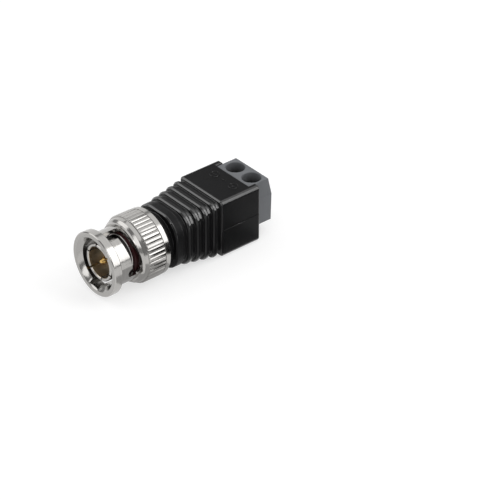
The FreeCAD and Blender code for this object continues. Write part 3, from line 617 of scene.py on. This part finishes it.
def wave_ring_tree():
    """Flat ring about +Z whose height rises and falls a whole number of times."""
    tree, start, end = new_group("Wave ring", "GeometryNodeTree", [
        ("Mean Radius", "NodeSocketFloat", 0.005),
        ("Width", "NodeSocketFloat", 0.001),
        ("Thickness", "NodeSocketFloat", 0.0003),
        ("Swing", "NodeSocketFloat", 0.0005),
        ("Waves", "NodeSocketInt", 3),
        ("Steps", "NodeSocketInt", 96),
        ("Material", "NodeSocketMaterial", None),
    ], [("Geometry", "NodeSocketGeometry")])
    circle = add_node(tree, "GeometryNodeCurvePrimitiveCircle", mode="RADIUS")
    tree.links.new(start.outputs["Steps"], circle.inputs["Resolution"])
    tree.links.new(start.outputs["Mean Radius"], circle.inputs["Radius"])
    place = add_node(tree, "ShaderNodeSeparateXYZ")
    tree.links.new(add_node(tree, "GeometryNodeInputPosition").outputs[0], place.inputs[0])
    angle = math_node(tree, "ARCTAN2", place.outputs["Y"], place.outputs["X"])
    phase = math_node(tree, "SINE", math_node(tree, "MULTIPLY", angle, start.outputs["Waves"]))
    offset = add_node(tree, "ShaderNodeCombineXYZ")
    lift = math_node(tree, "MULTIPLY", math_node(tree, "MULTIPLY", phase, start.outputs["Swing"]), -1.0)
    tree.links.new(lift, offset.inputs["Z"])
    wave = add_node(tree, "GeometryNodeSetPosition")
    tree.links.new(circle.outputs["Curve"], wave.inputs["Geometry"])
    tree.links.new(offset.outputs[0], wave.inputs["Offset"])
    upright = add_node(tree, "GeometryNodeSetCurveNormal", mode="Z_UP")
    tree.links.new(wave.outputs["Geometry"], upright.inputs["Curve"])
    section = add_node(tree, "GeometryNodeCurvePrimitiveQuadrilateral", mode="RECTANGLE")
    tree.links.new(start.outputs["Width"], section.inputs["Width"])
    tree.links.new(start.outputs["Thickness"], section.inputs["Height"])
    strip = add_node(tree, "GeometryNodeCurveToMesh")
    tree.links.new(upright.outputs["Curve"], strip.inputs["Curve"])
    tree.links.new(section.outputs["Curve"], strip.inputs["Profile Curve"])
    return close_tree(tree, start, end, strip.outputs["Mesh"])


def close_tree(tree, start, end, geometry):
    real = add_node(tree, "GeometryNodeRealizeInstances")
    coat = add_node(tree, "GeometryNodeSetMaterial")
    tree.links.new(geometry, real.inputs["Geometry"])
    tree.links.new(real.outputs["Geometry"], coat.inputs["Geometry"])
    tree.links.new(start.outputs["Material"], coat.inputs["Material"])
    tree.links.new(coat.outputs["Geometry"], end.inputs["Geometry"])
    return tree


def grown(name, tree, values):
    """Plain mesh object made by a geometry node tree with these named inputs."""
    piece = linked(name, bpy.data.meshes.new(name))
    modifier = piece.modifiers.new(tree.name, "NODES")
    modifier.node_group = tree
    for item in tree.interface.items_tree:
        if item.item_type == "SOCKET" and item.in_out == "INPUT" and item.name in values:
            modifier[item.identifier] = values[item.name]
    settled(piece)
    if not piece.data.polygons:
        raise RuntimeError(name + " came out empty")
    return piece


def tidied(piece):
    """Joins doubled points and turns every face of a closed mesh outwards."""
    work = bmesh.new()
    work.from_mesh(piece.data)
    bmesh.ops.remove_doubles(work, verts=work.verts, dist=0.0000005)
    bmesh.ops.recalc_face_normals(work, faces=work.faces)
    work.to_mesh(piece.data)
    work.free()
    return piece


# Pieces

def make_coupling_nut(metal):
    """Nut with a shallower knurl than its solid has, and with painted shade on the knurl's roots."""
    knurl_front = 7.25 * MM
    knurl_rear = 11.55 * MM
    solid_root = 7.0 * MM
    root_slack = 0.04 * MM
    flank = 0.035 * MM
    nut = welded_copy("coupling_nut", "knurled_nut")
    for point in nut.data.vertices:
        radius = math.hypot(point.co.y, point.co.z)
        if knurl_front < point.co.x < knurl_rear and abs(radius - solid_root) < root_slack:
            point.co.y *= metal.knurl_root / radius
            point.co.z *= metal.knurl_root / radius
    rounded(nut, metal.edge, 2)
    # Marks the faces at the roots of the knurl, which get painted shade.
    painted_groove_shade = nut.data.attributes.new("painted_groove_shade", "FLOAT", "FACE")
    for face, deep in zip(nut.data.polygons, painted_groove_shade.data):
        radius = math.hypot(face.center.y, face.center.z)
        knurled = knurl_front < face.center.x < knurl_rear
        deep.value = float(knurled and solid_root - 0.05 * MM < radius < metal.knurl_root + flank)
    dress(nut, "satin nickel", "nut", "nut_nickel", "coupling_nut")
    paint("retaining_ring", "spring steel")
    paint("flat_washer", "dull nickel")


def make_contacts(metal):
    """Slotted sleeve drawn on to the seal with a lip at its end in a lighter metal as a painted highlight,
    the pin and the insulators.
    """
    lip_outer = 4.26 * MM
    lip_inner = 3.95 * MM
    lip_width = 0.2 * MM
    sleeve = welded_copy("outer_contact", "slotted_sleeve")
    for point in sleeve.data.vertices:
        if abs(point.co.x - SOLID_SEAL_EDGE) < 0.01 * MM:
            point.co.x = SEAL_EDGE
    rounded(sleeve, metal.edge, 2)
    dress(sleeve, "outer contact plating", "adapter", "contact_bronze", "outer_contact")
    work = bmesh.new()
    ring(work, (0, 0), lip_outer, lip_inner, SEAL_EDGE - lip_width, SEAL_EDGE, 96)
    lip = mesh_of(work, "sleeve_lip")
    lip.data.transform(Matrix.Rotation(math.radians(90), 4, "Y"))
    rounded(lip, 0.09 * MM, 4)
    dress(lip, "highlight rim", "adapter", "contact_bronze")
    paint("centre_pin", "gold plating")
    paint("front_insulator", "white insulator")
    paint("rear_insulator", "white insulator")


def make_spring_pack():
    """Wave spring of three waves, as high as its solid, that the nut's float squeezes."""
    low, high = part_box("wave_washer")
    inner = 4.72 * MM
    outer = high.z
    thickness = 0.3 * MM
    room = 0.02 * MM
    swing = (high.x - low.x - thickness) / 2 * 0.97
    tree = shared_group("Wave ring", wave_ring_tree)
    washer = grown("wave_spring", tree, {
        "Mean Radius": (inner + outer) / 2, "Width": outer - inner - room, "Thickness": thickness,
        "Swing": swing, "Waves": 3, "Steps": 120, "Material": finish("spring steel")})
    turn = Matrix.Rotation(math.radians(90), 4, "Y")
    washer.data.transform(Matrix.Translation(((low.x + high.x) / 2, 0, 0)) @ turn)
    smooth(tidied(washer), 40)
    dress(washer, "spring steel", "adapter", "spring_steel", "wave_washer")
    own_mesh(washer)
    paint("plug_body", "dull nickel")


def make_seal():
    """Seal whose front is drawn back to the end of the sleeve."""
    front_end = 5.2 * MM
    seal = welded_copy("gasket", "rubber_seal")
    for point in seal.data.vertices:
        if point.co.x < front_end:
            point.co.x += SEAL_EDGE - SOLID_SEAL_EDGE
    rounded(seal, 0.08 * MM, 3)
    dress(seal, "red rubber", "adapter", "gasket_red", "gasket")


def soften_notch(cover, high):
    """Rounds the top edges of the notch in which the terminal housing sits."""
    notch = high.x - 1.7 * MM
    slack = 0.02 * MM
    half_width = high.y - 0.5 * MM
    work = bmesh.new()
    work.from_mesh(cover.data)
    rim = []
    for edge in work.edges:
        at_top = all(point.co.z > high.z - slack for point in edge.verts)
        at_notch = all(point.co.x > notch - slack and abs(point.co.y) < half_width for point in edge.verts)
        if at_top and at_notch and edge.calc_face_angle(0) > math.radians(69):
            rim.append(edge)
    bmesh.ops.bevel(
        work, geom=rim, offset=0.3 * MM, offset_type="OFFSET", segments=4, profile=0.5, affect="EDGES")
    work.to_mesh(cover.data)
    work.free()


def mark_polish(cover, plastic, high):
    """Says how far handling has polished each face, most of all at the corners of ribs and block."""
    ribs_rear = high.x - 10.05 * MM
    ribs_front = high.x - 18.6 * MM
    for face, worn in zip(cover.data.polygons, cover.data.attributes["polish"].data):
        corner = min(abs(face.normal.y), abs(face.normal.z))
        if face.center.x < ribs_rear:
            worn.value *= min(1.0, max(0.0, face.normal.z * 2.5))
            if face.center.x > ribs_front:
                rubbed = min(1.0, max(0.0, corner * 4 - 0.8))
                worn.value = max(worn.value, plastic.rib_polish, rubbed)
        elif corner > 0.12:
            worn.value = 0.65


def rub_rims(cover, high):
    """Gives the upper front of each rib, which faces the light behind the nut, its thin bright line."""
    block_front = high.x - 9.6 * MM
    cover.data.materials.append(finish("rubbed rim"))
    for face, worn in zip(cover.data.polygons, cover.data.attributes["polish"].data):
        if face.center.x < block_front and face.normal.x < -0.52 and face.normal.z > 0.56:
            face.material_index = 1
            worn.value = 1.0


def make_jacket(plastic):
    """Cover with softened rims, rubbed where hands touch it, and its parting line."""
    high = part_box("jacket")[1]
    cover = welded_copy("jacket", "ribbed_jacket")
    soften_notch(cover, high)
    rounded(cover, plastic.rib_round, 3, angle=35)
    mark_polish(cover, plastic, high)
    dress(cover, "black jacket", "adapter", "jacket_black", "jacket")
    rub_rims(cover, high)
    line = 0.05 * MM
    level = -0.15 * MM
    block = (26.45 * MM, high.x - 0.3 * MM)
    seam = side_lines("parting_line", block, high.y, plastic.mark_height, level, line)
    dress(rounded(seam, 0.02 * MM, 1), "black jacket", "adapter", "jacket_black")


def side_lines(name, ends, half_width, out, level, line):
    """Raised line along both sides of a block, as its mould leaves it."""
    work = bmesh.new()
    for side in (-1, 1):
        near, far = sorted((side * (half_width - out), side * (half_width + out)))
        bar(work, (ends[0], near, level - line), (ends[1], far, level + line))
    return mesh_of(work, name)


def make_polarity_marks(plastic):
    """A ringed plus and a ringed minus, one in front of each pole, with a short dash between them."""
    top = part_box("jacket")[1].z
    low = top - plastic.mark_height
    high = top + plastic.mark_height
    radius = plastic.mark_ring / 2
    half_line = 0.08 * MM
    arm = radius * 0.55
    row_x = 31.9 * MM
    places = {"plus": -3.3 * MM, "minus": 2.6 * MM}
    for name, y in places.items():
        work = bmesh.new()
        ring(work, (row_x, y), radius, radius - 2 * half_line, low, high, 40)
        bar(work, (row_x - half_line, y - arm, low), (row_x + half_line, y + arm, high))
        if name == "plus":
            bar(work, (row_x - arm, y - half_line, low), (row_x + arm, y + half_line, high))
        mark = rounded(mesh_of(work, "mark_" + name), 0.02 * MM, 1)
        dress(mark, "black jacket", "adapter", "jacket_black")
    dash_ends = (-0.75 * MM, 0.25 * MM)
    work = bmesh.new()
    bar(work, (row_x - half_line, dash_ends[0], low), (row_x + half_line, dash_ends[1], high))
    dash = rounded(mesh_of(work, "mark_dash"), 0.02 * MM, 1)
    dress(dash, "black jacket", "adapter", "jacket_black")


def make_terminal_block():
    """Housing with the walls of its screw holes marked with "hole" for painted shade, and the mould line on
    its sides.
    """
    hole_reach = 2.03 * MM
    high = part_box("terminal_housing")[1]
    block = rounded(welded_copy("terminal_housing", "terminal_block"), 0.06 * MM, 2)
    axes = [sum(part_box("terminal_screw_" + pole), Vector()) / 2 for pole in POLES]
    hole = block.data.attributes.new("hole", "FLOAT", "FACE")
    for face, within in zip(block.data.polygons, hole.data):
        reach = min((face.center - axis).xy.length for axis in axes)
        within.value = float(reach < hole_reach and abs(face.normal.z) < 0.3)
    dress(block, "grey housing", "adapter", "housing_grey", "terminal_housing")
    ends = (36.0 * MM, high.x - 0.12 * MM)
    seam = side_lines("housing_mould_line", ends, high.y, out=0.025 * MM, level=2.35 * MM, line=0.04 * MM)
    dress(smooth(seam, 40), "grey housing", "adapter", "housing_grey")


def make_wire_contacts(metal):
    for pole in POLES:
        cage = rounded(welded_copy("contact_" + pole, "cage_" + pole), metal.edge, 2)
        dress(cage, "tinned brass", "adapter", "contact_tin", "contact_" + pole)
        leaf = rounded(welded_copy("wire_guard_" + pole, "leaf_" + pole), metal.edge, 2)
        dress(leaf, "bright tin leaf", "guard_" + pole, "guard_tin", "wire_guard_" + pole)


def make_terminal_screws(metal):
    """Head and core from the solid, with its shank drawn in to the root of the thread, and the thread."""
    head_height = 0.9 * MM
    shank = 1.22 * MM
    plain_end = 0.25 * MM
    steps_per_turn = 32
    root = shank - metal.thread_depth
    tree = shared_group("Screw thread", thread_tree)
    for pole in POLES:
        node = "terminal_screw_" + pole
        low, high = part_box(node)
        axis = (low + high) / 2
        head_bottom = high.z - head_height
        core = welded_copy(node, "core_" + pole)
        for point in core.data.vertices:
            across = Vector((point.co.x - axis.x, point.co.y - axis.y))
            if across.length < shank + 0.05 * MM and point.co.z < head_bottom + 0.02 * MM:
                across *= root / shank
                point.co.x = axis.x + across.x
                point.co.y = axis.y + across.y
        rounded(core, 0.1 * MM, 3)
        length = head_bottom - low.z - 2 * plain_end
        ridge = grown("thread_" + pole, tree, {
            "Length": length, "Pitch": metal.thread_pitch, "Root Radius": root,
            "Depth": metal.thread_depth, "Steps": int(length / metal.thread_pitch * steps_per_turn),
            "Material": finish("zinc plated steel")})
        ridge.data.transform(Matrix.Translation((axis.x, axis.y, low.z + plain_end)))
        smooth(ridge, 50)
        dress(core, "zinc plated steel", "screw_" + pole, "screw_zinc", node)
        dress(ridge, "zinc plated steel", "screw_" + pole, "screw_zinc")


def make_leads():
    paint("signal_lead", "red lead")
    paint("ground_lead", "black lead")


# Studio

def soft_light(name, brightness, size, direction, distance, centre):
    """Rectangular softbox that faces the centre from a direction, as bright all over as it says."""
    data = bpy.data.lights.new(name, "AREA")
    data.shape = "RECTANGLE"
    data.size, data.size_y = size
    data.energy = brightness * math.pi * size[0] * size[1]
    lamp = bpy.data.objects.new(name, data)
    bpy.context.scene.collection.objects.link(lamp)
    way = Vector(direction).normalized()
    lamp.location = centre + way * distance
    lamp.rotation_mode = "QUATERNION"
    lamp.rotation_quaternion = way.to_track_quat("Z", "Y")


def bright_rays(tree):
    """1 for camera, mirror and glass rays, and 0 for the rays that light the object."""
    path = add_node(tree, "ShaderNodeLightPath")
    total = math_node(tree, "ADD", path.outputs["Is Camera Ray"], path.outputs["Is Glossy Ray"])
    total = math_node(tree, "ADD", total, path.outputs["Is Transmission Ray"])
    return math_node(tree, "MINIMUM", total, 1.0)


def make_world(studio):
    """Even grey light, which the camera sees as bright as the far floor."""
    far_floor = 0.75
    world = bpy.data.worlds.new("Grey studio")
    world.use_nodes = True
    bpy.context.scene.world = world
    tree = world.node_tree
    background = tree.nodes["Background"]
    background.inputs["Color"].default_value = (1, 1, 1, 1)
    path = add_node(tree, "ShaderNodeLightPath")
    strength = add_node(tree, "ShaderNodeMix", {"A": studio.ambient, "B": far_floor}, data_type="FLOAT")
    tree.links.new(path.outputs["Is Camera Ray"], strength.inputs["Factor"])
    tree.links.new(strength.outputs["Result"], background.inputs["Strength"])


def stage_material(name, colour, glow):
    """Matt material that gives off its own white light."""
    material = bpy.data.materials.new(name)
    material.use_nodes = True
    shader = material.node_tree.nodes["Principled BSDF"]
    shader.inputs["Base Color"].default_value = (*colour, 1)
    shader.inputs["Specular IOR Level"].default_value = 0.0
    shader.inputs["Emission Color"].default_value = (1, 1, 1, 1)
    shader.inputs["Emission Strength"].default_value = glow
    return material


def make_floor(studio):
    """Large pale sheet under the rear band of the nut and the rear lower edge of the jacket."""
    half_size = 3.0
    gap = 0.03 * MM
    glow = 0.6
    nut_foot = Vector((12.7 * MM, 0, -7.2 * MM))
    jacket_foot = Vector((36.0 * MM, 0, -6.6 * MM))
    along = (jacket_foot - nut_foot).normalized()
    up = Vector((-along.z, 0, along.x))
    centre = (nut_foot + jacket_foot) / 2 - up * gap
    floor = sheet("floor", centre, along * half_size, Vector((0, half_size, 0)))
    material = stage_material("white floor", studio.floor, glow)
    tree = material.node_tree
    shader = tree.nodes["Principled BSDF"]
    shader.inputs["Roughness"].default_value = 0.9
    tree.links.new(math_node(tree, "MULTIPLY", bright_rays(tree), glow), shader.inputs["Emission Strength"])
    floor.data.materials.append(material)


def make_card(name, centre, size, facing, brightness):
    """Card that only mirror rays see, black where it has no brightness. Its place and size are in mm."""
    turn = Vector(facing).normalized().to_track_quat("Z", "Y").to_matrix()
    half_width = turn @ Vector((size[0] / 2, 0, 0)) * MM
    half_length = turn @ Vector((0, size[1] / 2, 0)) * MM
    card = sheet(name, Vector(centre) * MM, half_width, half_length)
    card.data.materials.append(stage_material(name, (0.02, 0.02, 0.02), brightness))
    card.visible_camera = False
    card.visible_diffuse = False
    card.visible_shadow = False
    card.visible_transmission = False


def make_camera(studio):
    """Camera fitted to the photograph, with the plug left of the middle of the picture."""
    place = Vector((-251.9, -346.1, 289.2)) * MM
    aim = Vector((0.532, 0.638, -0.5565))
    data = bpy.data.cameras.new("Photo view")
    data.sensor_width = 36.0
    data.lens = studio.lens
    data.shift_x = 0.018
    data.clip_start = 0.01
    data.clip_end = 20.0
    camera = bpy.data.objects.new("Photo view", data)
    bpy.context.scene.collection.objects.link(camera)
    camera.location = place
    camera.rotation_mode = "QUATERNION"
    camera.rotation_quaternion = aim.to_track_quat("-Z", "Y")
    bpy.context.scene.camera = camera


def make_studio(studio):
    middle = Vector((20, 0, 0)) * MM
    soft_light("Overhead softbox", studio.overhead, (1.0, 0.92), (0.15, -0.05, 1.0), 0.6, middle)
    soft_light("Side softbox", studio.side, (0.36, 0.68), (0.53, -0.69, 0.54), 0.7, middle)
    soft_light("Front strip", studio.strip, (0.40, 0.30), (-0.85, -0.32, 0.43), 0.7, middle)
    soft_light("Back strip", studio.strip * 0.95, (0.42, 0.42), (-0.55, 0.64, 0.52), 0.7, middle)
    black = 0.0
    upwards = (0.0, 0.0, 1.0)
    make_card("standing_flag", (33, -22, 0), (32, 14), (-0.3, 1.0, 0.0), black)
    make_card("lying_flag", (41.2, -21, -6.6), (41.5, 26), upwards, black)
    # Grey card on the floor under the nut, seen only in mirrors: a painted shadow of the nut on the floor.
    make_card("nut_shadow_card", (9.5, -8, -7.1), (12, 24), upwards, 0.5)
    make_card("face_flag", (-8.5, 8.5, -7.1), (22, 22), upwards, 0.86)
    make_card("white_card", (23, 40, 20), (44, 50), (0.0, -1.0, 0.0), studio.card)
    make_world(studio)
    make_floor(studio)
    make_camera(studio)
    bpy.context.scene.view_settings.view_transform = "Standard"


# Operators

class PLUG_OT_coupling_nut(bpy.types.Operator):
    """Finish the knurled coupling nut with its retaining ring and flat washer"""
    bl_idname = "plug.coupling_nut"
    bl_label = "Coupling nut"

    def execute(self, context):
        make_coupling_nut(context.scene.plug_metal)
        return {"FINISHED"}


class PLUG_OT_contacts(bpy.types.Operator):
    """Finish the slotted outer contact, the centre pin and their insulators"""
    bl_idname = "plug.contacts"
    bl_label = "Plug contacts"

    def execute(self, context):
        make_contacts(context.scene.plug_metal)
        return {"FINISHED"}


class PLUG_OT_spring_pack(bpy.types.Operator):
    """Make the wave spring and finish the plug body and gasket"""
    bl_idname = "plug.spring_pack"
    bl_label = "Spring pack"

    def execute(self, context):
        make_spring_pack()
        make_seal()
        return {"FINISHED"}


class PLUG_OT_jacket(bpy.types.Operator):
    """Round the ribs of the jacket and add its parting line"""
    bl_idname = "plug.jacket"
    bl_label = "Jacket"

    def execute(self, context):
        make_jacket(context.scene.plug_plastic)
        return {"FINISHED"}


class PLUG_OT_polarity_marks(bpy.types.Operator):
    """Add the plus and minus marks on top of the jacket"""
    bl_idname = "plug.polarity_marks"
    bl_label = "Polarity marks"

    def execute(self, context):
        make_polarity_marks(context.scene.plug_plastic)
        return {"FINISHED"}


class PLUG_OT_terminal_block(bpy.types.Operator):
    """Finish the grey terminal housing"""
    bl_idname = "plug.terminal_block"
    bl_label = "Terminal housing"

    def execute(self, context):
        make_terminal_block()
        return {"FINISHED"}


class PLUG_OT_wire_contacts(bpy.types.Operator):
    """Finish the cage contacts and wire guards"""
    bl_idname = "plug.wire_contacts"
    bl_label = "Cage contacts"

    def execute(self, context):
        make_wire_contacts(context.scene.plug_metal)
        return {"FINISHED"}


class PLUG_OT_terminal_screws(bpy.types.Operator):
    """Make the two slotted screws with their threads"""
    bl_idname = "plug.terminal_screws"
    bl_label = "Terminal screws"

    def execute(self, context):
        make_terminal_screws(context.scene.plug_metal)
        return {"FINISHED"}


class PLUG_OT_leads(bpy.types.Operator):
    """Finish the two leads inside the jacket"""
    bl_idname = "plug.leads"
    bl_label = "Leads"

    def execute(self, context):
        make_leads()
        return {"FINISHED"}


class PLUG_OT_studio(bpy.types.Operator):
    """Build the floor, the lights and the camera"""
    bl_idname = "plug.studio"
    bl_label = "Studio"

    def execute(self, context):
        make_studio(context.scene.plug_studio)
        return {"FINISHED"}


OPERATORS = (
    PLUG_OT_coupling_nut,
    PLUG_OT_contacts,
    PLUG_OT_spring_pack,
    PLUG_OT_jacket,
    PLUG_OT_polarity_marks,
    PLUG_OT_terminal_block,
    PLUG_OT_wire_contacts,
    PLUG_OT_terminal_screws,
    PLUG_OT_leads,
    PLUG_OT_studio,
)


class PLUG_PT_panel(bpy.types.Panel):
    bl_idname = "PLUG_PT_panel"
    bl_label = "Coaxial plug"
    bl_space_type = "VIEW_3D"
    bl_region_type = "UI"
    bl_category = "Plug"

    def draw(self, context):
        for settings in (context.scene.plug_metal, context.scene.plug_plastic, context.scene.plug_studio):
            box = self.layout.box()
            for name in settings.bl_rna.properties.keys():
                if name not in ("rna_type", "name"):
                    box.prop(settings, name)
        for operator in OPERATORS:
            self.layout.operator(operator.bl_idname)


CLASSES = (PlugMetalSettings, PlugPlasticSettings, PlugStudioSettings, *OPERATORS, PLUG_PT_panel)


def register():
    for each in CLASSES:
        bpy.utils.register_class(each)
    bpy.types.Scene.plug_metal = bpy.props.PointerProperty(type=PlugMetalSettings)
    bpy.types.Scene.plug_plastic = bpy.props.PointerProperty(type=PlugPlasticSettings)
    bpy.types.Scene.plug_studio = bpy.props.PointerProperty(type=PlugStudioSettings)


def unregister():
    del bpy.types.Scene.plug_studio
    del bpy.types.Scene.plug_plastic
    del bpy.types.Scene.plug_metal
    for each in reversed(CLASSES):
        bpy.utils.unregister_class(each)


def main():
    register()
    bpy.ops.plug.coupling_nut()
    bpy.ops.plug.contacts()
    bpy.ops.plug.spring_pack()
    bpy.ops.plug.jacket()
    bpy.ops.plug.polarity_marks()
    bpy.ops.plug.terminal_block()
    bpy.ops.plug.wire_contacts()
    bpy.ops.plug.terminal_screws()
    bpy.ops.plug.leads()
    bpy.ops.plug.studio()


if __name__ == "__main__":
    main()
